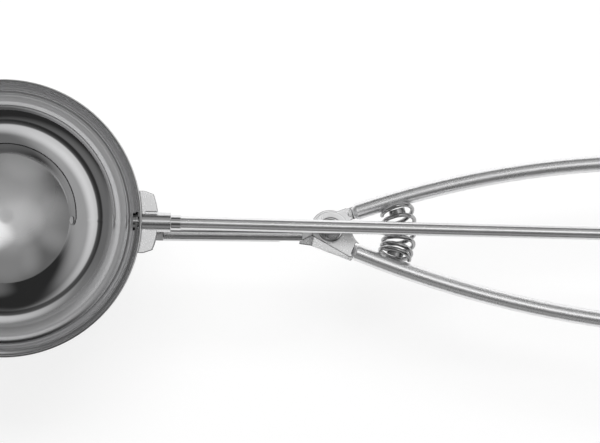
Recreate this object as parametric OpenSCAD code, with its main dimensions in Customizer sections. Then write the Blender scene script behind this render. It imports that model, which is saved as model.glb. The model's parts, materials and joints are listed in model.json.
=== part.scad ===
// Lever ice cream scoop: a hemispherical bowl with a geared wiper band, worked by squeezing two bowed bars.
// Origin at the centre of the bowl's sphere, +X along the stem to the handles, +Z out of the bowl's mouth.
// The stem lies in the plane z = 0, and the pivot, the handle bars and the rack rod lie in a plane below it.

/* [Bowl] */
// Outer diameter of the bowl and its rim
bowl_d = 84; // [76:1:92]
// Sheet thickness of the bowl
bowl_wall = 0.8; // [0.6:0.1:1.2]
// Height of the straight skirt from the sphere's centre up to the rim
skirt_h = 3.5; // [2:0.5:6]
// Width of the flat on top of the rim, between its rounded edges
rim_flat = 0.2; // [0.1:0.05:0.4]

/* [Wiper] */
// Width of the wiper band
band_w = 7; // [5:0.5:9]
// Thickness of the wiper band
band_t = 0.7; // [0.5:0.1:1]
// Gap between the wiper band and the bowl
band_gap = 0.3; // [0.2:0.05:0.5]
// Angle of the parked band below the plane of the sphere's centre
park_angle = 6; // [5:0.5:10]
// Diameter of the round eyes at both ends of the band
eye_d = 6; // [5.6:0.2:7]
// Diameter of the collar that holds the band on its shaft
collar_d = 5.4; // [4.6:0.2:5.4]
// Thickness of that collar
collar_t = 0.9; // [0.6:0.1:1.2]
// Diameter of the wiper shaft where it passes the bowl
shaft_d = 3.2; // [2.8:0.1:3.4]
// Diameter of the shaft's tail in the stem ferrule
tail_d = 2.4; // [2:0.1:2.6]
// Diameter of the tip pin opposite the stem
tip_pin_d = 2.5; // [2:0.1:3]
// Diameter of the tip pin's outer head
tip_head_d = 5.2; // [4.4:0.2:6]
// Thickness of the tip pin's outer head
tip_head_t = 1; // [0.8:0.1:1.4]
// Thickness of the tip pin's inner head
tip_clench_t = 0.6; // [0.4:0.1:0.8]

/* [Gear] */
// Gear module of the pinion and rack
tooth_module = 0.5; // [0.49:0.005:0.51]
// Teeth on the pinion
pinion_teeth = 9; // [9:1:9]
// Turns of the pinion for one full turn of the lever
gear_ratio = 24; // [23:1:26]
// Length of the pinion
pinion_len = 3.4; // [3:0.1:3.6]
// Width of the rack's toothed face
rack_face = 1.6; // [1.3:0.1:1.7]
// Play between the flanks of meshed teeth
backlash = 0.17; // [0.12:0.01:0.24]
// Depth of the rack under its teeth
rack_depth = 4; // [3:0.2:5]
// Thickness of the rack's foot, which takes the rod
foot_t = 1.2; // [1:0.1:1.6]

/* [Neck] */
// Outer diameter of the sleeve between bowl and stem
sleeve_d = 6; // [5.9:0.1:6.6]
// Length of the sleeve from the bowl
sleeve_len = 8.7; // [8.4:0.1:10]
// Thickness of the housing's ears, web and floor
plate_t = 1; // [0.8:0.1:1.2]
// Height of the ears' top face above the stem's axis
ear_top = 2.2; // [1.8:0.1:2.6]
// Half the width of the housing at the bowl
ear_half = 9.4; // [9:0.1:12]
// Half the width of the housing at its outer corners
corner_half = 8.45; // [8:0.05:9]
// Distance that the ears stand out from the bowl
ear_reach = 4.8; // [4.6:0.1:5]
// Distance that the outer corners stand out from the bowl
corner_reach = 3.2; // [3:0.1:3.6]
// Upper edge of the gap between the ears, above the stem's axis
slot_high = 3.1; // [3.05:0.05:4]
// Lower edge of the gap between the ears, below the stem's axis
slot_low = 2.3; // [2:0.1:2.6]
// Diameter of the ferrule's visible end
ferrule_d = 4.6; // [4.4:0.1:5]
// Length of the ferrule outside the sleeve
ferrule_len = 3.1; // [2:0.1:5]

/* [Stem] */
// Diameter of the stem
stem_d = 4; // [3.8:0.1:4.2]
// Length of the stem's round end past the end clip
stem_tail = 1.4; // [0.5:0.1:4]

/* [Pivot] */
// Distance of the pivot's axis below the stem's axis, in the plan view
pivot_drop = 0.9; // [0:0.1:1.2]
// Diameter of the pivot pin
pin_d = 3.5; // [3:0.1:4]
// Diameter of the pin's head
pin_head_d = 8; // [7.6:0.1:8.4]
// Thickness of the pin's head
pin_head_t = 1; // [0.9:0.1:1.2]
// Radius of the rounded edge of the pin's head
pin_edge_r = 0.75; // [0.5:0.05:0.8]
// Width of the raised rim on the pin's head
pin_rim = 0.3; // [0.2:0.05:0.5]
// Depth of the dish in the pin's head
pin_dish = 0.4; // [0.2:0.05:0.5]
// Radius of the fixed bracket around the pivot
bracket_r = 5.5; // [5.2:0.1:5.8]
// Thickness of the lever plate and of the tongues in the bars
lever_t = 2; // [1.6:0.1:2.4]
// Radius of the lever plate around the pivot
lever_r = 5.9; // [5.6:0.1:6.2]
// Diameter of the spacer washers beside the lever plate
washer_d = 6.2; // [5.6:0.1:6.4]

/* [Handles] */
// Diameter of the handle bars
bar_d = 5; // [4.6:0.1:5.2]
// Distance from the pivot to the lever bar's end, along the stem
lever_reach = 6.6; // [6.4:0.1:7.4]
// Distance from the pivot to the lever bar's end, across the stem
lever_rise = 5.2; // [5.1:0.1:5.6]
// Distance from the pivot to the fixed bar's end, along the stem
fixed_reach = 6.9; // [6.8:0.1:7.9]
// Distance from the pivot to the fixed bar's end, across the stem
fixed_fall = 6.2; // [6:0.1:6.6]
// Length of the rounding at the pivot end of each bar
nose_len = 1.6; // [1.2:0.1:1.8]
// Width of the tongues in the bars
tongue_w = 3.6; // [3:0.1:4]
// Bow radius of the lever bar
lever_bow = 283; // [270:1:310]
// Sweep of the lever bar
lever_sweep = 24.4; // [20:0.1:26]
// Bow radius of the fixed bar
fixed_bow = 326; // [310:1:340]
// Sweep of the fixed bar's bow
fixed_sweep = 16.2; // [14:0.1:17]
// Radius of the turn at the fixed bar's end
turn_r = 24; // [20:1:28]
// Radius of the bend that brings the fixed bar under the stem
return_r = 16; // [12:1:20]
// Slope of the fixed bar between those two bends
turn_angle = 62; // [56:1:66]
// Depth of the slot in the end of each bar
slot_depth = 7; // [5:0.5:9]
// Length of the clip that joins stem and fixed bar
clip_len = 9; // [6:0.5:12]
// Wall of the clip around the stem and the bar
clip_wall = 1.2; // [1:0.1:1.6]

/* [Rack rod] */
// Diameter of the rack rod
rod_d = 3.8; // [3.4:0.1:4]
// Distance of the rod's rack end below the stem's axis, in the plan view
rod_drop = 3.6; // [3.2:0.1:3.8]
// Distance of the rod's pivot end below the stem's axis, in the plan view
rod_drop_pivot = 3; // [2.6:0.1:3.2]
// Gap between the rod's end and the pivot's axis
rod_gap = 8.4; // [8:0.1:9]
// Diameter of the rod's riveted spigot in the rack's foot
spigot_d = 2.2; // [1.8:0.1:2.6]

/* [Spring] */
// Wire diameter of the spring
wire_d = 1.3; // [1.1:0.1:1.4]
// Outer diameter of the spring
spring_d = 10.6; // [10:0.1:11]
// Distance from the pivot to the spring's middle
spring_reach = 20.9; // [20:0.1:22]
// Gap between the spring and the stem
spring_gap = 0.2; // [0.2:0.05:0.5]
// Diameter of the pegs that hold the spring
peg_d = 5; // [4:0.2:6]
// Length that the pegs reach into the spring
peg_len = 2.2; // [1.6:0.2:3]

/* [Clearances] */
// Radial running clearance of pins, shafts and the pinion in its sleeve
run_gap = 0.05; // [0.02:0.01:0.08]
// Gap beside faces that slide past each other
face_gap = 0.1; // [0.05:0.05:0.2]

/* [Hidden] */
$fn = 64;

// Bowl and wiper
bowl_r = bowl_d / 2;
bowl_in = bowl_r - bowl_wall;
band_out = bowl_in - band_gap;
band_in = band_out - band_t;
clench_r = tip_pin_d / 2 + 1;
clench_x = sqrt(pow(band_in, 2) - pow(clench_r, 2)) - face_gap;
collar_x = sqrt(pow(band_in, 2) - pow(collar_d / 2, 2));

// Pinion and rack
pitch_r = tooth_module * pinion_teeth / 2;
addendum = 0.7 * tooth_module;
dedendum = 0.9 * tooth_module;
pinion_tip = pitch_r + addendum;
pressure_angle = 25;
base_r = pitch_r * cos(pressure_angle);
flank_half = (PI * tooth_module - backlash) / 4;
rack_r = pitch_r * gear_ratio;
rack_step = 360 / (pinion_teeth * gear_ratio);
first_tooth = -0.5;
last_tooth = 4.5;
rack_margin = 0.6;
foot_reach = 2.15;
foot_root = 0.4;
rack_top = -pitch_r - dedendum;
rack_floor = rack_top - rack_depth;

// Stations along the stem's axis, from the bowl outwards
web_x = bowl_r + plate_t;
mesh_x = web_x + 2;
window_len = 4;
sleeve_end = bowl_r + sleeve_len;
ferrule_x = web_x + window_len + 0.2;
tail_end = ferrule_x + 2.4;
stem_x = tail_end + 0.6;
ferrule_end = sleeve_end + ferrule_len;
sleeve_r = sleeve_d / 2;
sleeve_bore = pinion_tip + run_gap;
stem_r = stem_d / 2;

// Pivot, and the plane that the handles lie in
pivot = [mesh_x + rack_r, -pivot_drop];
bar_r = bar_d / 2;
handle_z = -(stem_r + spring_gap + spring_d / 2);
cheek_in = bar_r;
cheek_out = bar_r + plate_t;
contact_angle = 180 - asin(pivot_drop / rack_r);
head_z = handle_z + cheek_out;
dish_r = pin_head_d / 2 - pin_edge_r - pin_rim;
dish_ball = (dish_r * dish_r + pin_dish * pin_dish) / (2 * pin_dish);

// Handle bars: start offset from the pivot and start direction
lever_start = [lever_reach, lever_rise];
lever_dir = 20.2;
fixed_start = [fixed_reach, -fixed_fall];
fixed_dir = -20.6;
joint_gap = 0.15;
joint_rise = 0.05;
fold_start = [-4.7, -2.4];
fold_end = [6.4, -8.35];
base_end = [6.3, -9.3];
base_tip = [-9.4, -4.6];
base_front = [-9, -2.6];
wall_foot = [-5.1, -4.8];
bow_dir = fixed_dir + fixed_sweep;
bow_end = pivot + fixed_start + nose_len * [cos(fixed_dir), sin(fixed_dir)]
    + fixed_bow * [sin(bow_dir) - sin(fixed_dir), cos(fixed_dir) - cos(bow_dir)];
turn_end = bow_end + turn_r * [sin(turn_angle) - sin(bow_dir), cos(bow_dir) - cos(turn_angle)];
link_len = (-turn_end[1] - return_r * (1 - cos(turn_angle))) / sin(turn_angle);
clip_x = turn_end[0] + link_len * cos(turn_angle) + return_r * sin(turn_angle);
stem_end = clip_x + clip_len + stem_tail;

// Rack rod
foot_x = mesh_x + foot_reach;
rod_start = foot_x + foot_t;
rod_end = pivot[0] - rod_gap;
rod_slope = atan((rod_drop - rod_drop_pivot) / (rod_end - rod_start));
rod_r = rod_d / 2;

// Spring: angles about the pivot after each half turn, nearest and farthest from the pivot by turns,
// and how far the turns lean to either side between those points
coil_r = (spring_d - wire_d) / 2;
spring_angles = [16.8, 15.8, 8.8, 8, -1.4, -0.6, -9.6, -9, -15, -16, -20.2, -19.9];
spring_lean = 5;
lever_peg_angle = 17;
fixed_peg_angle = -19.4;
wire_sides = 10;
half_steps = 12;

// A cylinder along +X from x0 to x1
module rod_x(x0, x1, r) {
    translate([x0, 0, 0])
        rotate([0, 90, 0])
            cylinder(h = x1 - x0, r = r);
}

// The room that the bowl takes with its inside, cut from the pieces that fit against it
module bowl_room() {
    sphere(r = bowl_r, $fn = 256);
    cylinder(h = bowl_r, r = bowl_r, $fn = 256);
}

// Section of the bowl's wall: a quarter circle, the skirt above it, and the rim's rounded edges
module bowl_section() {
    rim_r = (bowl_wall - rim_flat) / 2;
    difference() {
        intersection() {
            circle(r = bowl_r, $fn = 256);
            translate([0, -bowl_r])
                square(bowl_r);
        }
        circle(r = bowl_in, $fn = 256);
    }
    translate([bowl_in, 0])
        square([bowl_wall, skirt_h - rim_r]);
    translate([bowl_in + rim_r, 0])
        square([rim_flat, skirt_h]);
    for (x = [bowl_in + rim_r, bowl_r - rim_r])
        translate([x, skirt_h - rim_r])
            circle(r = rim_r, $fn = 24);
}

module bowl() {
    color("gainsboro")
    difference() {
        rotate_extrude($fn = 256)
            bowl_section();
        rod_x(0, bowl_d, shaft_d / 2 + run_gap);
        rod_x(-bowl_d, 0, tip_pin_d / 2);
    }
}

// Plan outline of the ears: straight ends, a rounded front
module ear_outline() {
    bulge = ear_reach - corner_reach;
    front_r = (corner_half * corner_half + bulge * bulge) / (2 * bulge);
    intersection() {
        polygon([
            [bowl_r - 4, -ear_half],
            [bowl_r + 0.5, -ear_half],
            [bowl_r + corner_reach, -corner_half],
            [bowl_r + ear_reach, -corner_half],
            [bowl_r + ear_reach, corner_half],
            [bowl_r + corner_reach, corner_half],
            [bowl_r + 0.5, ear_half],
            [bowl_r - 4, ear_half]
        ]);
        translate([bowl_r + ear_reach - front_r, 0])
            circle(r = front_r, $fn = 128);
    }
}

module gear_housing() {
    floor_top = rack_floor - face_gap;
    color("lightgray")
    difference() {
        translate([0, 0, floor_top - plate_t])
            linear_extrude(ear_top - floor_top + plate_t)
                ear_outline();
        translate([web_x, -bowl_r, floor_top])
            cube([bowl_r, bowl_d, ear_top - plate_t - floor_top]);
        translate([web_x, -slot_low, 0])
            cube([bowl_r, slot_low + slot_high, bowl_r]);
        bowl_room();
        rod_x(0, bowl_d, sleeve_r);
    }
}

// Tube between bowl and stem, open below where the rack reaches the pinion
module sleeve() {
    window_top = -0.6;
    color("darkgray")
    difference() {
        rod_x(bowl_r - 0.5, sleeve_end, sleeve_r);
        rod_x(0, bowl_d, sleeve_bore);
        translate([web_x, -sleeve_d, window_top - sleeve_d])
            cube([window_len, 2 * sleeve_d, sleeve_d]);
        bowl_room();
    }
}

module stem_ferrule() {
    color("silver")
    difference() {
        union() {
            rod_x(ferrule_x, sleeve_end, sleeve_bore);
            rod_x(sleeve_end, ferrule_end, ferrule_d / 2);
        }
        rod_x(ferrule_x - 1, tail_end + face_gap, tail_d / 2 + run_gap);
        rod_x(stem_x, ferrule_end + 1, stem_r);
    }
}

module stem() {
    color("silver") {
        rod_x(stem_x, stem_end - stem_r, stem_r);
        translate([stem_end - stem_r, 0, 0])
            dome(stem_r);
    }
}

// Block brazed between the dish of the pin's head and the stem
module stem_saddle() {
    saddle_len = 5;
    saddle_w = 3;
    color("silver")
    difference() {
        translate([pivot[0] - saddle_len / 2, -saddle_w / 2, head_z + pin_head_t - pin_dish])
            cube([saddle_len, saddle_w, -head_z - pin_head_t + pin_dish]);
        rod_x(0, stem_end, stem_r);
        translate([pivot[0], pivot[1], head_z])
            pin_head();
    }
}

// Head of the pin: rounded outer edge, narrow raised rim, shallow dish
module pin_head() {
    head_r = pin_head_d / 2;
    rotate_extrude()
        difference() {
            union() {
                square([head_r, pin_head_t - pin_edge_r]);
                square([head_r - pin_edge_r, pin_head_t]);
                intersection() {
                    translate([head_r - pin_edge_r, pin_head_t - pin_edge_r])
                        circle(r = pin_edge_r);
                    square([head_r, pin_head_t]);
                }
            }
            intersection() {
                translate([0, pin_head_t - pin_dish + dish_ball])
                    circle(r = dish_ball, $fn = 256);
                square([dish_r, 2 * pin_head_t]);
            }
        }
}

module pivot_pin() {
    clench_t = 1;
    color("white")
    translate([pivot[0], pivot[1], 0]) {
        translate([0, 0, handle_z - cheek_out - plate_t - clench_t])
            cylinder(h = 2 * cheek_out + plate_t + clench_t + pin_head_t / 2, r = pin_d / 2);
        translate([0, 0, head_z])
            pin_head();
    }
}

// Ring that the pin is peened over, under the bracket
module pin_washer() {
    color("silver")
    translate([pivot[0], pivot[1], handle_z - cheek_out - plate_t])
        difference() {
            cylinder(h = plate_t, r = pin_head_d / 2);
            translate([0, 0, -1])
                cylinder(h = plate_t + 2, r = pin_d / 2);
        }
}

// Right part of both sheets, from the pivot to the bar, with a hollow upper edge
module bracket_arm(left_edge) {
    hollow_r = 6;
    difference() {
        polygon(concat(
            left_edge,
            [
                [7, -8],
                fixed_start + [1.9, 2.05],
                [6.6, -1],
                [5, 1]
            ]
        ));
        translate(fixed_start + [5.4, 7.1])
            circle(r = hollow_r);
        translate(fixed_start)
            rotate(fixed_dir)
                translate([-face_gap, -bar_r - face_gap])
                    square([2 * bar_d, bar_d + 2 * face_gap]);
    }
}

// Outline of the bracket's top sheet, about the pivot, up to the fold
module bracket_top() {
    intersection() {
        union() {
            circle(r = bracket_r);
            bracket_arm([[-bracket_r, 0], [-bracket_r, -1.9], fold_start, fold_end]);
        }
        polygon([
            fold_start + 2 * (fold_start - fold_end),
            fold_end + 2 * (fold_end - fold_start),
            [4 * bracket_r, 4 * bracket_r],
            [-4 * bracket_r, 4 * bracket_r]
        ]);
    }
}

// Outline of the bracket's lower sheet, which reaches further out
module bracket_base() {
    circle(r = bracket_r);
    bracket_arm([
        [-bracket_r, 0],
        base_front,
        base_tip,
        [-5.9, -5],
        [-0.7, -6.9],
        base_end
    ]);
}

// Side wall that slopes out from the fold to the lower sheet's edge
module bracket_wall() {
    edge_r = plate_t / 2;
    along = (fold_end - fold_start) / norm(fold_end - fold_start);
    inward = edge_r * [-along[1], along[0]];
    hull() {
        translate(concat(fold_start + inward, cheek_in))
            cylinder(h = plate_t, r = edge_r, $fn = 24);
        translate(concat(fold_end + inward - edge_r * along, cheek_in))
            cylinder(h = plate_t, r = edge_r, $fn = 24);
        translate(concat(wall_foot, -cheek_out))
            cylinder(h = plate_t, r = edge_r, $fn = 24);
        translate(concat(base_end + [0, edge_r], -cheek_out))
            cylinder(h = plate_t, r = edge_r, $fn = 24);
    }
}

// Moves a child to a bar's start, with +X along the bar
module at_bar(start, dir) {
    translate([pivot[0] + start[0], pivot[1] + start[1], handle_z])
        rotate([0, 0, dir])
            children();
}

// Flared brazing before a bar's nose and the tongue that fills the bar's slot
module bar_root() {
    flare_len = 1.4;
    flare_r = bar_r - 0.3;
    neck_r = 1.2;
    hollow_r = flare_len;
    translate([-flare_len, 0, 0])
        rotate([0, 90, 0])
            rotate_extrude()
                difference() {
                    square([flare_r, flare_len - face_gap]);
                    translate([neck_r + hollow_r, 0])
                        circle(r = hollow_r);
                }
    translate([-2, -tongue_w / 2, -lever_t / 2])
        cube([2 + slot_depth, tongue_w, lever_t]);
}

module fixed_bracket() {
    color("lightgray") {
        translate([pivot[0], pivot[1], handle_z])
            difference() {
                union() {
                    translate([0, 0, cheek_in])
                        linear_extrude(plate_t)
                            bracket_top();
                    translate([0, 0, -cheek_out])
                        linear_extrude(plate_t)
                            bracket_base();
                    bracket_wall();
                }
                translate([0, 0, -2 * cheek_out])
                    cylinder(h = 4 * cheek_out, r = pin_d / 2);
                translate(fixed_start)
                    rotate([0, 0, fixed_dir])
                        rod_x(-face_gap, bar_d, bar_r + face_gap);
            }
        at_bar(fixed_start, fixed_dir) {
            bar_root();
            translate([-2.4, -2, -cheek_in - plate_t / 2])
                cube([1.6, 4, 2 * cheek_in + plate_t]);
        }
    }
}

// Washer that keeps the lever plate in the middle of the bracket
module spacer() {
    difference() {
        cylinder(h = cheek_in - lever_t / 2 - face_gap, r = washer_d / 2);
        translate([0, 0, -1])
            cylinder(h = cheek_in + 2, r = pin_d / 2);
    }
}

module upper_spacer() {
    color("white")
    translate([pivot[0], pivot[1], handle_z + lever_t / 2 + face_gap])
        spacer();
}

module lower_spacer() {
    color("white")
    translate([pivot[0], pivot[1], handle_z - cheek_in])
        spacer();
}

// Blunt rounded nose at the pivot end of a bar, from x = 0 to x = nose_len
module bar_nose() {
    rotate([0, 90, 0])
        rotate_extrude() {
            square([bar_r - nose_len, nose_len]);
            intersection() {
                translate([bar_r - nose_len, 0])
                    square([nose_len, nose_len]);
                translate([bar_r - nose_len, nose_len])
                    circle(r = nose_len);
            }
        }
}

// Half ball on a rod's end, bulging along +X
module dome(r) {
    rotate([0, 90, 0])
        rotate_extrude()
            intersection() {
                circle(r = r);
                square([r, r]);
            }
}

// One arc of a bar: starts at the origin along +X, bends left for a positive side
module bar_arc(bow, sweep, side) {
    trim = joint_gap / bow * 180 / PI;
    translate([0, side * bow, 0])
        rotate([0, 0, (side > 0 ? -90 : 90 - sweep) + trim])
            rotate_extrude(angle = sweep - 2 * trim, $fn = 360)
                translate([bow, 0])
                    circle(r = bar_r);
}

// Short disc that joins the two lengths of bar meeting at x = 0
module bar_joint() {
    rod_x(-2 * joint_gap, 2 * joint_gap, bar_r + joint_rise);
}

// Moves a child to the end of such an arc, with +X along the bar
module after_arc(bow, sweep, side) {
    translate([bow * sin(sweep), side * bow * (1 - cos(sweep)), 0])
        rotate([0, 0, side * sweep])
            children();
}

// Slot in the pivot end of a bar
module bar_end_cut() {
    translate([-1, -tongue_w / 2, -lever_t / 2])
        cube([slot_depth + 1, tongue_w, lever_t]);
}

// Bow, turn, straight and return of the fixed bar, then the length in the clip
module fixed_path() {
    bar_joint();
    bar_arc(fixed_bow, fixed_sweep, 1);
    after_arc(fixed_bow, fixed_sweep, 1) {
        bar_joint();
        bar_arc(turn_r, turn_angle - bow_dir, 1);
        after_arc(turn_r, turn_angle - bow_dir, 1) {
            bar_joint();
            rod_x(joint_gap, link_len - joint_gap, bar_r);
            translate([link_len, 0, 0]) {
                bar_joint();
                bar_arc(return_r, turn_angle, -1);
                after_arc(return_r, turn_angle, -1) {
                    bar_joint();
                    rod_x(joint_gap, clip_len, bar_r);
                    translate([clip_len, 0, 0])
                        dome(bar_r);
                }
            }
        }
    }
}

module fixed_bar() {
    color("silver")
    at_bar(fixed_start, fixed_dir)
        difference() {
            union() {
                bar_nose();
                translate([nose_len, 0, 0])
                    fixed_path();
            }
            bar_end_cut();
        }
}

module end_clip() {
    color("lightgray")
    difference() {
        union() {
            rod_x(clip_x, clip_x + clip_len, stem_r + clip_wall);
            translate([clip_x, -stem_r, handle_z])
                cube([clip_len, stem_d, -handle_z]);
            translate([0, 0, handle_z])
                rod_x(clip_x, clip_x + clip_len, bar_r + clip_wall);
        }
        rod_x(clip_x - 1, stem_end, stem_r);
        translate([0, 0, handle_z])
            rod_x(clip_x - 1, stem_end, bar_r);
    }
}

module tip_pin() {
    color("silver") {
        difference() {
            rod_x(-bowl_r - tip_head_t, -bowl_r + 0.5, tip_head_d / 2);
            bowl_room();
        }
        rod_x(-bowl_r - tip_head_t / 2, -clench_x, tip_pin_d / 2);
        rod_x(-clench_x, tip_clench_t - clench_x, clench_r);
    }
}

// The wiper band in its parked place: a strip of a thin sphere with a round eye at each pole
module wiper_band() {
    color("silver")
    rotate([park_angle, 0, 0])
        difference() {
            intersection() {
                sphere(r = band_out, $fn = 256);
                union() {
                    translate([-bowl_d, -bowl_d, -band_w / 2])
                        cube([2 * bowl_d, bowl_d, band_w]);
                    rod_x(-bowl_d, bowl_d, eye_d / 2);
                }
            }
            sphere(r = band_in, $fn = 256);
            rod_x(0, bowl_d, tail_d / 2);
            rod_x(-bowl_d, 0, tip_pin_d / 2 + run_gap);
        }
}

// Half the angle of a pinion tooth at radius r
function flank_angle(r) = let(a = acos(min(1, base_r / r)))
    flank_half / pitch_r * 180 / PI
    + (tan(pressure_angle) * 180 / PI - pressure_angle)
    - (tan(a) * 180 / PI - a);

function polar(r, a) = r * [cos(a), sin(a)];

module pinion_outline() {
    flank_steps = 4;
    root_r = pitch_r - dedendum;
    radii = [for (i = [0 : flank_steps]) base_r + (pinion_tip - base_r) * i / flank_steps];
    points = [
        for (t = [0 : pinion_teeth - 1])
            each concat(
                [polar(root_r, t * 360 / pinion_teeth - flank_angle(base_r))],
                [for (r = radii) polar(r, t * 360 / pinion_teeth - flank_angle(r))],
                [
                    for (i = [flank_steps : -1 : 0])
                        polar(radii[i], t * 360 / pinion_teeth + flank_angle(radii[i]))
                ],
                [polar(root_r, t * 360 / pinion_teeth + flank_angle(base_r))]
            )
    ];
    polygon(points);
}

// Shaft from inside the bowl to the ferrule, with the pinion cut on it; a tooth points down at rest
module wiper_shaft() {
    color("gray") {
        rod_x(collar_x - collar_t, tail_end, tail_d / 2);
        rod_x(band_out, mesh_x, shaft_d / 2);
        translate([mesh_x - pinion_len / 2, 0, 0])
            rotate([0, 90, 0])
                linear_extrude(pinion_len)
                    pinion_outline();
    }
}

module wiper_collar() {
    color("silver")
    difference() {
        rod_x(collar_x - collar_t, collar_x, collar_d / 2);
        rod_x(0, bowl_d, tail_d / 2);
    }
}

// Lever plate: eye on the pivot, arm to the lever bar, tail to the rack rod
module lever_plate() {
    hub_r = 3.3;
    rod_tail_w = 2.6;
    color("lightgray") {
        translate([pivot[0], pivot[1], handle_z - lever_t / 2])
            linear_extrude(lever_t)
                difference() {
                    union() {
                        circle(r = hub_r);
                        intersection() {
                            translate([-0.3, 0])
                                circle(r = lever_r);
                            polygon([
                                [-3 * lever_r, 9.3],
                                [3 * lever_r, -8.7],
                                [3 * lever_r, 3 * lever_r],
                                [-3 * lever_r, 3 * lever_r]
                            ]);
                        }
                        polygon([
                            [1.4, lever_r - 0.5],
                            lever_start + [-2, 1.42],
                            lever_start + [-0.6, -2.4],
                            [4, -1]
                        ]);
                        polygon([
                            [-rod_gap, pivot_drop - rod_drop_pivot + rod_tail_w / 2],
                            [-4.8, 3.4],
                            [-2, 0],
                            [-3, -1.6],
                            [-5.6, -2],
                            [-rod_gap, pivot_drop - rod_drop_pivot - rod_tail_w / 2]
                        ]);
                    }
                    circle(r = pin_d / 2 + run_gap);
                }
        at_bar(lever_start, lever_dir)
            bar_root();
        translate([rod_end, -rod_drop_pivot, handle_z])
            rotate([0, 0, rod_slope])
                translate([-slot_depth, -rod_tail_w / 2, -lever_t / 2])
                    cube([slot_depth + 0.5, rod_tail_w, lever_t]);
    }
}

module lever_bar() {
    color("silver")
    at_bar(lever_start, lever_dir)
        difference() {
            union() {
                bar_nose();
                translate([nose_len, 0, 0]) {
                    bar_joint();
                    bar_arc(lever_bow, lever_sweep, -1);
                    after_arc(lever_bow, lever_sweep, -1) {
                        bar_joint();
                        translate([joint_gap, 0, 0])
                            dome(bar_r);
                    }
                }
            }
            bar_end_cut();
        }
}

module rack_rod() {
    rod_len = (rod_end - rod_start) / cos(rod_slope);
    color("gray")
    translate([rod_end, -rod_drop_pivot, handle_z])
        rotate([0, 0, rod_slope])
            difference() {
                union() {
                    rod_x(face_gap - rod_len, 0, rod_r);
                    rod_x(-rod_len - foot_t, 1 - rod_len, spigot_d / 2);
                }
                translate([-slot_depth, -rod_d, -lever_t / 2])
                    cube([slot_depth + 1, 2 * rod_d, lever_t]);
            }
}

// One rack tooth across the toothed face, standing up from z = 0 and centred on the Y axis
module rack_tooth() {
    rise = tan(pressure_angle);
    rotate([90, 0, 90])
        linear_extrude(rack_face)
            polygon([
                [-flank_half - dedendum * rise, 0],
                [flank_half + dedendum * rise, 0],
                [flank_half - addendum * rise, dedendum + addendum],
                [-flank_half + addendum * rise, dedendum + addendum]
            ]);
}

// Toothed arc about the pivot, under the pinion's half towards the bowl, with a foot for the rod's spigot
module rack() {
    start_angle = contact_angle + (first_tooth - rack_margin) * rack_step;
    sweep = (last_tooth - first_tooth + 2 * rack_margin) * rack_step;
    foot_top = -sleeve_r - 0.35;
    foot_low = handle_z - rod_r;
    color("gray")
    difference() {
        union() {
            translate([pivot[0], pivot[1], rack_floor])
                rotate([0, 0, start_angle])
                    rotate_extrude(angle = sweep, $fn = 128)
                        translate([rack_r, 0])
                            square([rack_face, rack_depth]);
            for (t = [first_tooth : 1 : last_tooth])
                translate([pivot[0], pivot[1], rack_top])
                    rotate([0, 0, contact_angle + t * rack_step])
                        translate([rack_r, 0, 0])
                            rack_tooth();
            translate([foot_x, -rod_drop - rod_r, foot_low])
                cube([foot_t, rod_d, foot_top - foot_low]);
            translate([mesh_x - foot_root, -rod_drop - rod_r, rack_floor])
                cube([2 * foot_root + foot_reach, rod_d, foot_top - rack_floor]);
        }
        translate([rod_end, -rod_drop_pivot, handle_z])
            rotate([0, 0, rod_slope])
                rod_x(-rack_r, 0, spigot_d / 2);
    }
}

// Peg on the inner side of a bar that the spring's end turn slips over
module peg(turn, side) {
    translate([pivot[0], pivot[1], handle_z])
        rotate([0, 0, turn])
            translate([spring_reach, side * wire_d / 2, 0])
                rotate([side * 90, 0, 0])
                    cylinder(h = peg_len, r = peg_d / 2);
}

module fixed_peg() {
    color("silver")
        peg(fixed_peg_angle, -1);
}

module lever_peg() {
    color("silver")
        peg(lever_peg_angle, 1);
}

// Angle about the pivot of the spring's wire after h half turns
function spring_angle(h) = let(i = max(0, min(floor(h), len(spring_angles) - 2)))
    spring_angles[i] + (spring_angles[i + 1] - spring_angles[i]) * (1 - cos(180 * (h - i))) / 2
    + spring_lean * sin(180 * h);

// Centre of the wire after h half turns
function wire_centre(h) = let(a = spring_angle(h), reach = spring_reach - coil_r * cos(180 * h))
    concat(pivot, handle_z) + [reach * cos(a), reach * sin(a), coil_r * sin(180 * h)];

// A point of the wire's skin: w goes round the wire, h counts half turns
function wire_point(h, w) = let(
        a = spring_angle(h),
        step = 1 / half_steps,
        ahead = wire_centre(h + step) - wire_centre(h - step),
        along = ahead / norm(ahead),
        outward = [-cos(180 * h) * cos(a), -cos(180 * h) * sin(a), sin(180 * h)],
        side = cross(along, outward)
    )
    wire_centre(h) + wire_d / 2 * (cos(w) * cross(side, along) + sin(w) * side) / norm(side);

// Compression spring, bent about the pivot so that its turns fan out between the bars
module spring() {
    rings = (len(spring_angles) - 1) * half_steps;
    color("dimgray")
    polyhedron(
        points = [
            for (i = [0 : rings])
                for (w = [0 : wire_sides - 1])
                    wire_point(i / half_steps, w * 360 / wire_sides)
        ],
        faces = concat(
            [[for (w = [0 : wire_sides - 1]) w]],
            [
                for (i = [0 : rings - 1])
                    for (w = [0 : wire_sides - 1])
                        let(v = (w + 1) % wire_sides, a = i * wire_sides, b = a + wire_sides)
                        [a + w, b + w, b + v, a + v]
            ],
            [[for (w = [wire_sides - 1 : -1 : 0]) rings * wire_sides + w]]
        )
    );
}

bowl();
gear_housing();
sleeve();
stem_ferrule();
stem();
stem_saddle();
pivot_pin();
pin_washer();
fixed_bracket();
upper_spacer();
lower_spacer();
fixed_bar();
end_clip();
tip_pin();
fixed_peg();
spring();
wiper_band();
wiper_shaft();
wiper_collar();
lever_plate();
lever_bar();
rack_rod();
rack();
lever_peg();
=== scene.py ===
import json
import math

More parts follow.
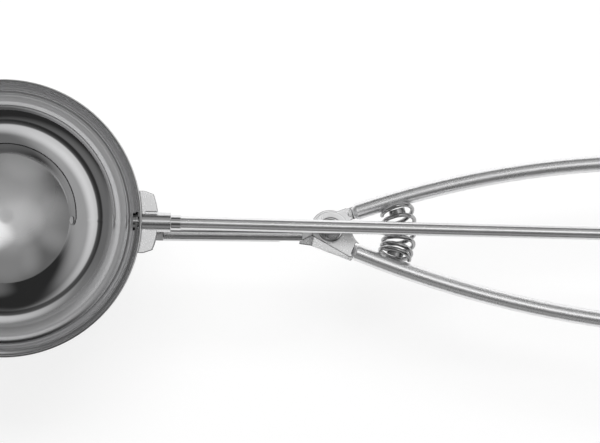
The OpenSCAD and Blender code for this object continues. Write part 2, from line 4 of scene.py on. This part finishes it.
import bmesh
import bpy
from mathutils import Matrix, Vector


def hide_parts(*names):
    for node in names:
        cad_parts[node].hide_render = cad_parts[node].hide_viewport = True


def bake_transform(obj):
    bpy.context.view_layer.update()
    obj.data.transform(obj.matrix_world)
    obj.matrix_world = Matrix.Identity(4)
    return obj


MM = 0.001
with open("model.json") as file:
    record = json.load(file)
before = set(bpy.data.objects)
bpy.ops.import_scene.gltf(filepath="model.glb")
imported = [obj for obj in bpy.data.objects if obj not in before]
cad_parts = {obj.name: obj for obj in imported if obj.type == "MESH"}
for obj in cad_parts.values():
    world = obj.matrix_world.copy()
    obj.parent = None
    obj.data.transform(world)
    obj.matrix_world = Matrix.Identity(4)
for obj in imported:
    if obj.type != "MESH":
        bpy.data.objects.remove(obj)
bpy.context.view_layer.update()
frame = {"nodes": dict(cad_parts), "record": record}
nodes = frame["nodes"]
scene = bpy.context.scene

# ---------------------------------------------------------------- camera
# Straight down from high up and turned a little; the picture's middle looks at AIM.
CAMERA_ROLL = math.radians(1.45)
AIM = Vector((0.08969, 0.00133, 0.0))
CAMERA_HEIGHT = 1.9
PICTURE_WIDTH = 0.1812
SENSOR_WIDTH = 36
camera = bpy.data.objects.new("camera", bpy.data.cameras.new("camera"))
scene.collection.objects.link(camera)
camera.data.sensor_width = SENSOR_WIDTH
camera.data.lens = SENSOR_WIDTH * CAMERA_HEIGHT / PICTURE_WIDTH
camera.data.clip_start = 0.01
camera.data.clip_end = 100
camera.location = AIM + Vector((0, 0, CAMERA_HEIGHT))
camera.rotation_euler = (0, 0, CAMERA_ROLL)
scene.camera = camera

# The bowl mirrors itself many times near its mouth, so glossy rays bounce often.
BOUNCES = 24
scene.view_settings.view_transform = "Standard"
scene.cycles.max_bounces = BOUNCES
scene.cycles.glossy_bounces = BOUNCES


# ---------------------------------------------------------------- node helpers
def new_node(tree, kind, **values):
    node = tree.nodes.new(kind)
    for key, value in values.items():
        setattr(node, key, value)
    return node


def math_node(tree, operation, a, b, clamp=False):
    """Arithmetic on two sockets or numbers."""
    node = new_node(tree, "ShaderNodeMath", operation=operation, use_clamp=clamp)
    for socket, value in zip(node.inputs, (a, b)):
        if isinstance(value, (int, float)):
            socket.default_value = value
        else:
            tree.links.new(value, socket)
    return node.outputs[0]


def dot_node(tree, a, b):
    """Dot product of a socket with a fixed vector or another socket."""
    node = new_node(tree, "ShaderNodeVectorMath", operation="DOT_PRODUCT")
    tree.links.new(a, node.inputs[0])
    if isinstance(b, Vector):
        node.inputs[1].default_value = b
    else:
        tree.links.new(b, node.inputs[1])
    return node.outputs["Value"]


def map_range(tree, value, lo, hi, to_lo, to_hi, smooth=True):
    """Maps lo..hi to to_lo..to_hi and holds the end values outside."""
    node = new_node(tree, "ShaderNodeMapRange")
    node.interpolation_type = "SMOOTHSTEP" if smooth else "LINEAR"
    node.clamp = True
    tree.links.new(value, node.inputs["Value"])
    for name, v in (("From Min", lo), ("From Max", hi), ("To Min", to_lo), ("To Max", to_hi)):
        node.inputs[name].default_value = v
    return node.outputs["Result"]


def mix_shaders(tree, factor, first, second, surface):
    """Sends first, or second where the factor is 1, to an output's surface socket."""
    mix = new_node(tree, "ShaderNodeMixShader")
    for value, socket in zip((factor, first, second), mix.inputs):
        tree.links.new(value, socket)
    tree.links.new(mix.outputs[0], surface)


# ---------------------------------------------------------------- world and lamp
def towards(azimuth, tilt):
    """Unit vector at a tilt from straight up; azimuth 0 is +X and 90 is +Y."""
    a, t = math.radians(azimuth), math.radians(tilt)
    return Vector((math.sin(t) * math.cos(a), math.sin(t) * math.sin(a), math.cos(t)))


# Soft round patches of sky: direction, angle that is fully lit, angle where it ends, strength.
# The key patches are cut off behind an upright plane, the others light every side.
KEY_PATCHES = ((towards(35, 12), 0, 23, 0.98), (towards(12, 38), 14, 40, 0.8))
KEY_SIDE = towards(35, 90)
KEY_CUT = (-0.06, 0.12)
FILL_PATCHES = (
    (towards(91, 36), 8, 34, 0.32),
    (towards(175, 12), 5, 24, 0.3),
    (towards(178, 47), 8, 28, 0.25),
    (towards(140, 50), 6, 26, 0.15),
    (towards(255, 56), 6, 26, 0.3),
    (towards(0, 180), 86, 106, 0.3),
)
# The dark spot overhead, where a camera would hang; its strength is the part of the light it takes.
DARK_SPOT = (towards(270, 2), 4, 8, 0.8)
SKY_BASE = 0.06


def lobe(tree, direction, centre, inner, outer, strength):
    """One soft patch of sky."""
    edge, core = (math.cos(math.radians(angle)) for angle in (outer, inner))
    return map_range(tree, dot_node(tree, direction, centre), edge, core, 0.0, strength)


def studio_sky():
    """The world: patches of light for every ray but the camera's, which sees plain white."""
    world = bpy.data.worlds.new("studio")
    scene.world = world
    world.use_nodes = True
    tree = world.node_tree
    tree.nodes.clear()
    direction = new_node(tree, "ShaderNodeTexCoord").outputs["Generated"]
    key = math_node(tree, "ADD", *(lobe(tree, direction, *patch) for patch in KEY_PATCHES))
    lit_side = map_range(tree, dot_node(tree, direction, KEY_SIDE), *KEY_CUT, 0.0, 1.0)
    sky = math_node(tree, "ADD", math_node(tree, "MULTIPLY", key, lit_side), SKY_BASE)
    for patch in FILL_PATCHES:
        sky = math_node(tree, "ADD", sky, lobe(tree, direction, *patch))
    kept = math_node(tree, "SUBTRACT", 1.0, lobe(tree, direction, *DARK_SPOT), clamp=True)
    studio = new_node(tree, "ShaderNodeBackground")
    tree.links.new(math_node(tree, "MULTIPLY", sky, kept), studio.inputs["Strength"])
    white = new_node(tree, "ShaderNodeBackground")
    white.inputs["Strength"].default_value = 1.0
    white.inputs["Color"].default_value = (1, 1, 1, 1)
    seen = new_node(tree, "ShaderNodeLightPath").outputs["Is Camera Ray"]
    surface = new_node(tree, "ShaderNodeOutputWorld").inputs["Surface"]
    mix_shaders(tree, seen, studio.outputs[0], white.outputs[0], surface)


def area_lamp(name, centre, azimuth, tilt, distance, size, power):
    """A rectangular lamp that looks at centre and leaves no reflection of its own."""
    lamp = bpy.data.objects.new(name, bpy.data.lights.new(name, "AREA"))
    scene.collection.objects.link(lamp)
    lamp.data.shape = "RECTANGLE"
    lamp.data.size, lamp.data.size_y = size
    lamp.data.energy = power
    way = towards(azimuth, tilt)
    lamp.location = Vector(centre) + way * distance
    lamp.rotation_mode = "QUATERNION"
    lamp.rotation_quaternion = way.to_track_quat("Z", "Y")
    lamp.visible_glossy = False


studio_sky()
area_lamp("key_lamp", (0.1, 0, 0), azimuth=92, tilt=34, distance=1.3, size=(1.1, 0.5), power=17)

# ---------------------------------------------------------------- floor
# White paper just under the bowl. The camera sees it mostly as glow, so it stays white but keeps
# some of the shadow.
FLOOR_Z = -0.0426
FLOOR_REACH = 6
PAPER_TONE = 0.9
GLOW_STRENGTH = 1.03
GLOW_SHARE = 0.8


def floor_paper():
    paper = bpy.data.materials.new("floor_paper")
    paper.use_nodes = True
    tree = paper.node_tree
    shade = tree.nodes["Principled BSDF"]
    shade.inputs["Base Color"].default_value = (PAPER_TONE, PAPER_TONE, PAPER_TONE, 1)
    shade.inputs["Roughness"].default_value = 0.9
    glow = new_node(tree, "ShaderNodeEmission")
    glow.inputs["Strength"].default_value = GLOW_STRENGTH
    seen = new_node(tree, "ShaderNodeLightPath").outputs["Is Camera Ray"]
    share = math_node(tree, "MULTIPLY", seen, GLOW_SHARE)
    surface = tree.nodes["Material Output"].inputs["Surface"]
    mix_shaders(tree, share, shade.outputs[0], glow.outputs[0], surface)
    return paper


floor_mesh = bpy.data.meshes.new("floor")
floor_corners = [
    (x * FLOOR_REACH, y * FLOOR_REACH, FLOOR_Z)
    for x, y in ((-1, -1), (1, -1), (1, 1), (-1, 1))
]
floor_mesh.from_pydata(floor_corners, [], [(0, 1, 2, 3)])
floor_mesh.materials.append(floor_paper())
floor = bpy.data.objects.new("floor", floor_mesh)
scene.collection.objects.link(floor)

# ---------------------------------------------------------------- steels
SPECULAR = 0.3
LINE_DETAIL = 3
CLOUD_SCALE = 130
CLOUD_DETAIL = 4
CLOUD_RANGE = (0.3, 0.7)
COOL_BLUE = 1.005
GLOSS_NOISE = (0.6, 1.4)
GLOSS_SPREAD = (0.88, 1.15)
BUMP_DEPTH = 0.1 * MM


def metal(name, tone, rough, grain, stretch, bump, smear=0.02, bare=1.0):
    """Steel with grain lines and small clouds of tone and gloss.

    grain and stretch are the lines' scale and direction, bump their relief. smear is the clouds'
    change of tone. bare is 1 for a mirror-like metal and less for a satin one.
    """
    made = bpy.data.materials.new(name)
    made.use_nodes = True
    tree = made.node_tree
    shader = tree.nodes["Principled BSDF"]
    shader.inputs["Metallic"].default_value = bare
    shader.inputs["Specular IOR Level"].default_value = SPECULAR
    coords = new_node(tree, "ShaderNodeTexCoord").outputs["Object"]
    mapping = new_node(tree, "ShaderNodeMapping")
    mapping.inputs["Scale"].default_value = stretch
    tree.links.new(coords, mapping.inputs["Vector"])
    lines = new_node(tree, "ShaderNodeTexNoise")
    lines.inputs["Scale"].default_value = grain
    lines.inputs["Detail"].default_value = LINE_DETAIL
    tree.links.new(mapping.outputs[0], lines.inputs["Vector"])
    clouds = new_node(tree, "ShaderNodeTexNoise")
    clouds.inputs["Scale"].default_value = CLOUD_SCALE
    clouds.inputs["Detail"].default_value = CLOUD_DETAIL
    tree.links.new(coords, clouds.inputs["Vector"])
    ramp = new_node(tree, "ShaderNodeValToRGB")
    tones = (tone - smear, tone + smear)
    for stop, position, level in zip(ramp.color_ramp.elements, CLOUD_RANGE, tones):
        stop.position = position
        stop.color = (level, level, level * COOL_BLUE, 1)
    tree.links.new(clouds.outputs["Fac"], ramp.inputs["Fac"])
    tree.links.new(ramp.outputs["Color"], shader.inputs["Base Color"])
    both = math_node(tree, "ADD", lines.outputs["Fac"], clouds.outputs["Fac"])
    least, most = (rough * share for share in GLOSS_SPREAD)
    gloss = map_range(tree, both, *GLOSS_NOISE, least, most, smooth=False)
    tree.links.new(gloss, shader.inputs["Roughness"])
    relief = new_node(tree, "ShaderNodeBump")
    relief.inputs["Strength"].default_value = bump
    relief.inputs["Distance"].default_value = BUMP_DEPTH
    tree.links.new(lines.outputs["Fac"], relief.inputs["Height"])
    tree.links.new(relief.outputs["Normal"], shader.inputs["Normal"])
    return made


# Grain of the small pieces, and of the bowl, and the metal share of satin sheet.
FINE = 1500
COARSE = 900
SATIN = 0.6
STEELS = {
    "bowl_steel": metal("bowl_steel", 0.66, 0.02, COARSE, (1, 1, 6), 0.002, 0.01),
    "housing_steel": metal("housing_steel", 0.95, 0.26, FINE, (4, 1, 1), 0.004, bare=SATIN),
    "sleeve_steel": metal("sleeve_steel", 0.85, 0.24, FINE, (6, 1, 1), 0.004),
    "ferrule_steel": metal("ferrule_steel", 0.85, 0.12, FINE, (6, 1, 1), 0.01),
    "stem_steel": metal("stem_steel", 0.94, 0.2, FINE, (1, 6, 6), 0.0, bare=0.92),
    "bar_steel": metal("bar_steel", 0.97, 0.28, FINE, (1, 5, 5), 0.0, 0.005, bare=0.93),
    "rod_steel": metal("rod_steel", 0.76, 0.24, FINE, (1, 6, 6), 0.0),
    "bracket_steel": metal("bracket_steel", 0.95, 0.26, FINE, (1, 1, 1), 0.004, bare=SATIN),
    "lever_steel": metal("lever_steel", 0.95, 0.26, FINE, (1, 1, 1), 0.004, bare=SATIN),
    "rivet_steel": metal("rivet_steel", 0.75, 0.1, FINE, (1, 1, 1), 0.02),
    "spacer_steel": metal("spacer_steel", 0.7, 0.3, FINE, (1, 1, 4), 0.02),
    "clip_steel": metal("clip_steel", 0.9, 0.3, FINE, (1, 4, 4), 0.02),
    "peg_steel": metal("peg_steel", 0.4, 0.25, FINE, (1, 1, 1), 0.03),
    "spring_steel": metal("spring_steel", 0.47, 0.1, FINE, (1, 1, 1), 0.01),
    "wiper_steel": metal("wiper_steel", 0.5, 0.06, FINE, (1, 1, 4), 0.01),
    "gear_steel": metal("gear_steel", 0.5, 0.28, FINE, (1, 4, 4), 0.03),
}


def repaint(made, mask, colour):
    """Blends a steel's colour to another where the mask is 1."""
    tree = made.node_tree
    base = tree.nodes["Principled BSDF"].inputs["Base Color"]
    blend = new_node(tree, "ShaderNodeMix", data_type="RGBA")
    factor, low, high = [socket for socket in blend.inputs if socket.enabled]
    mixed = next(socket for socket in blend.outputs if socket.enabled)
    tree.links.new(mask, factor)
    tree.links.new(base.links[0].from_socket, low)
    high.default_value = colour
    tree.links.new(mixed, base)


def plan_distance(tree, x, y):
    """Distance in plan from the point (x, y), whatever the height."""
    shift = new_node(tree, "ShaderNodeVectorMath", operation="MULTIPLY_ADD")
    tree.links.new(new_node(tree, "ShaderNodeTexCoord").outputs["Object"], shift.inputs[0])
    shift.inputs[1].default_value = (1, 1, 0)
    shift.inputs[2].default_value = (-x, -y, 0)
    length = new_node(tree, "ShaderNodeVectorMath", operation="LENGTH")
    tree.links.new(shift.outputs[0], length.inputs[0])
    return length.outputs["Value"]


# Painted sheen: a lighter, less mirror-like patch on the bowl's floor that stands in for reflected
# light; its middle, how far it is full and where it fades out, and the circle that cuts it.
PATCH_X, PATCH_Y = -1 * MM, 9 * MM
PATCH_FADE = (6 * MM, 23 * MM)
PATCH_CUT = (19.8 * MM, 20.6 * MM)
SHEEN_DIFFUSE_SHARE = 0.6
SHEEN_COLOUR = (0.76, 0.76, 0.765, 1)


def painted_sheen_patch(made):
    """Paints a sheen on the polished bowl's floor, off to its +Y side: a lighter, less metallic
    patch that stands in for reflected light.
    """
    tree = made.node_tree
    patch = map_range(tree, plan_distance(tree, PATCH_X, PATCH_Y), *PATCH_FADE, 1.0, 0.0)
    inside = map_range(tree, plan_distance(tree, 0, 0), *PATCH_CUT, 1.0, 0.0)
    sheen_mask = math_node(tree, "MULTIPLY", patch, inside)
    diffuse_share = math_node(tree, "MULTIPLY", sheen_mask, SHEEN_DIFFUSE_SHARE)
    bare = math_node(tree, "SUBTRACT", 1.0, diffuse_share)
    tree.links.new(bare, tree.nodes["Principled BSDF"].inputs["Metallic"])
    repaint(made, sheen_mask, SHEEN_COLOUR)


# Painted shade on the edges: they are darkened as if they mirrored the dark -Y side of the room. How
# far the rounding reaches, how much the surface turns before it darkens, how steep it is where it
# ends, and how the painted shade falls off from the -Y side to the +Y side.
EDGE_REACH = 0.55 * MM
EDGE_TURN = (0.985, 0.93)
EDGE_STEEP = (0.3, 0.5)
EDGE_SIDE = (0.3, -0.3)
EDGE_FAR_SHARE = 0.45
EDGE_SHADE_COLOUR = (0.06, 0.06, 0.06, 1)


def painted_dark_edges(made):
    """Rounds the sharp edges in the shading only and paints shade on them, darkest on their -Y side,
    where they would mirror the dark side of the room.
    """
    tree = made.node_tree
    rounding = new_node(tree, "ShaderNodeBevel", samples=8)
    rounding.inputs["Radius"].default_value = EDGE_REACH
    rounded = rounding.outputs["Normal"]
    tree.links.new(rounded, tree.nodes["Bump"].inputs["Normal"])
    flat = new_node(tree, "ShaderNodeNewGeometry").outputs["True Normal"]
    turned = map_range(tree, dot_node(tree, rounded, flat), *EDGE_TURN, 0.0, 1.0)
    local = new_node(tree, "ShaderNodeVectorTransform", vector_type="NORMAL")
    local.convert_from, local.convert_to = "WORLD", "OBJECT"
    tree.links.new(rounded, local.inputs[0])
    axes = new_node(tree, "ShaderNodeSeparateXYZ")
    tree.links.new(local.outputs[0], axes.inputs[0])
    upward = map_range(tree, axes.outputs["Z"], *EDGE_STEEP, 0.0, 1.0)
    side = map_range(tree, axes.outputs["Y"], *EDGE_SIDE, EDGE_FAR_SHARE, 1.0)
    mask = math_node(tree, "MULTIPLY", math_node(tree, "MULTIPLY", turned, upward), side)
    repaint(made, mask, EDGE_SHADE_COLOUR)


# Painted sheen: a lighter patch on the bowl's floor that stands in for reflected light.
painted_sheen_patch(STEELS["bowl_steel"])
# Painted shade: the satin sheets' edges are darkened, most on their -Y side, as if they mirrored the
# dark side of the room.
for name in ("housing_steel", "bracket_steel", "lever_steel"):
    painted_dark_edges(STEELS[name])

# ---------------------------------------------------------------- CAD pieces
WELD_GAP = 1e-6
FLAT_ANGLE = math.radians(0.05)
SHARP_ANGLE = math.radians(32)
EDGE_SEGMENTS = 3
# Edge radius of each bevelled piece, in millimetres; the others keep their CAD mesh as it is.
EDGE_RADIUS = {
    "sleeve": 0.12, "stem_ferrule": 0.15, "stem_saddle": 0.15, "pin_washer": 0.2, "end_clip": 0.3,
    "rack_rod": 0.12, "fixed_peg": 0.2, "lever_peg": 0.2, "tip_pin": 0.12, "wiper_collar": 0.12,
    "upper_spacer": 0.1, "lower_spacer": 0.1,
}


def round_edges(obj, width):
    """Breaks every sharp edge of a CAD piece by a small radius."""
    mesh = obj.data
    for name in ("custom_normal", "sharp_edge"):
        mesh.attributes.remove(mesh.attributes[name])
    mesh.shade_smooth()
    obj.modifiers.new("weld", "WELD").merge_threshold = WELD_GAP
    flat = obj.modifiers.new("flat", "DECIMATE")
    flat.decimate_type = "DISSOLVE"
    flat.angle_limit = FLAT_ANGLE
    edge = obj.modifiers.new("edge", "BEVEL")
    edge.width = width
    edge.segments = EDGE_SEGMENTS
    edge.limit_method = "ANGLE"
    edge.angle_limit = SHARP_ANGLE
    edge.harden_normals = True
    edge.use_clamp_overlap = False


slot_of = {row["node"]: row["material_slot"] for row in frame["record"]["subparts"]}
for name, obj in nodes.items():
    for place in obj.material_slots:
        place.material = STEELS[slot_of[name]]
    if name in EDGE_RADIUS:
        round_edges(obj, EDGE_RADIUS[name] * MM)

# ---------------------------------------------------------------- spring
# The wire's centre winds round an arc about the pivot. ANGLES are the directions from the pivot, in
# degrees, at the end of each half turn, and LEAN tips every turn a little.
PIVOT = Vector((99.0, -0.9, -7.5)) * MM
REACH = 20.9 * MM
WIRE = 1.3 * MM
COIL = (10.6 * MM - WIRE) / 2
ANGLES = (16.8, 15.8, 8.8, 8.0, -1.4, -0.6, -9.6, -9.0, -15.0, -16.0, -20.2, -19.9)
LEAN = 5.0
HALF_TURNS = len(ANGLES) - 1
STEPS = 24
WIRE_SIDES = 20


def polar(reach, angle, height=0.0):
    """Offset from the pivot; the angle is in radians."""
    return Vector((reach * math.cos(angle), reach * math.sin(angle), height))


def spring_angle(h):
    """Direction of the wire's centre from the pivot after h half turns."""
    i = min(int(h), HALF_TURNS - 1)
    ease = (1 - math.cos(math.pi * (h - i))) / 2
    turn = ANGLES[i] + (ANGLES[i + 1] - ANGLES[i]) * ease
    return math.radians(turn + LEAN * math.sin(math.pi * h))


def spring_point(h):
    """Centre of the wire after h half turns, the first point nearest the pivot."""
    reach = REACH - COIL * math.cos(math.pi * h)
    return PIVOT + polar(reach, spring_angle(h), COIL * math.sin(math.pi * h))


def tube(points, radius, sides, name):
    """A closed tube with flat ends along points."""
    bm = bmesh.new()
    rings = []
    normal = None
    last = len(points) - 1
    for i, point in enumerate(points):
        ahead = points[min(i + 1, last)] - points[max(i - 1, 0)]
        ahead.normalize()
        if normal is None:
            normal = ahead.orthogonal().normalized()
        normal = (normal - ahead * normal.dot(ahead)).normalized()
        side = ahead.cross(normal)
        rings.append([
            bm.verts.new(point + radius * (math.cos(w) * normal + math.sin(w) * side))
            for w in (2 * math.pi * k / sides for k in range(sides))
        ])
    for a, b in zip(rings, rings[1:]):
        for k in range(sides):
            n = (k + 1) % sides
            bm.faces.new((a[k], a[n], b[n], b[k]))
    bm.faces.new(list(reversed(rings[0])))
    bm.faces.new(rings[-1])
    mesh = bpy.data.meshes.new(name)
    bm.normal_update()
    bm.to_mesh(mesh)
    bm.free()
    for face in mesh.polygons:
        face.use_smooth = len(face.vertices) == 4
    obj = bpy.data.objects.new(name, mesh)
    scene.collection.objects.link(obj)
    return obj


path = [spring_point(i / STEPS) for i in range(HALF_TURNS * STEPS + 1)]
coil = tube(path, WIRE / 2, WIRE_SIDES, "coil_spring")
coil.data.materials.append(STEELS["spring_steel"])
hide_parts("spring")
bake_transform(coil)
